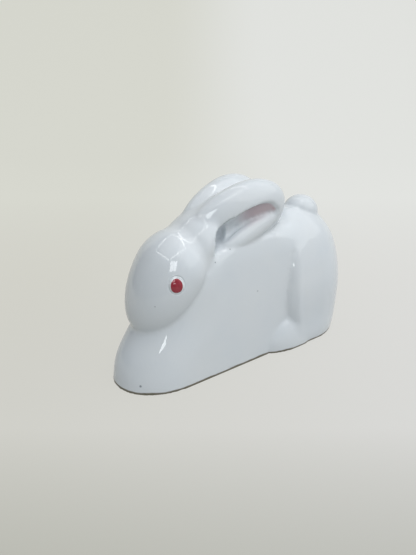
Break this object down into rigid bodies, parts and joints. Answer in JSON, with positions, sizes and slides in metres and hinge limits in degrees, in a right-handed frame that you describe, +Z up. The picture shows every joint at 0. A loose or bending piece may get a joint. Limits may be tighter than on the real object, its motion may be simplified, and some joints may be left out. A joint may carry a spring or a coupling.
{
  "type": "ceramic rabbit figurine",
  "caption": "Hollow glazed ceramic rabbit lying down with laid-back ears, enamel eyes and inner ears, round tail and a recessed bottom plate.",
  "frame": {"origin": "middle of the footprint, on the surface that the figurine stands on", "axes": "+X towards the tail, so the rabbit looks along -X; +Y towards the rabbit's right side; +Z up"},
  "size_m": [0.14, 0.0508, 0.0889],
  "materials": {
    "glaze": "glossy off-white glaze with a faint blue-grey tint",
    "biscuit": "unglazed fired clay, matt",
    "eye_enamel": "glossy deep red enamel",
    "ear_enamel": "glossy dusty pink enamel"
  },
  "bodies": {
    "root": {"body_shell": "glaze", "head": "glaze", "ear_left": "glaze", "ear_right": "glaze", "hind_foot_left": "glaze", "hind_foot_right": "glaze", "tail": "glaze", "base_plate": "biscuit", "eye_left": "eye_enamel", "eye_right": "eye_enamel", "inner_ear_left": "ear_enamel", "inner_ear_right": "ear_enamel"}
  },
  "joints": []
}
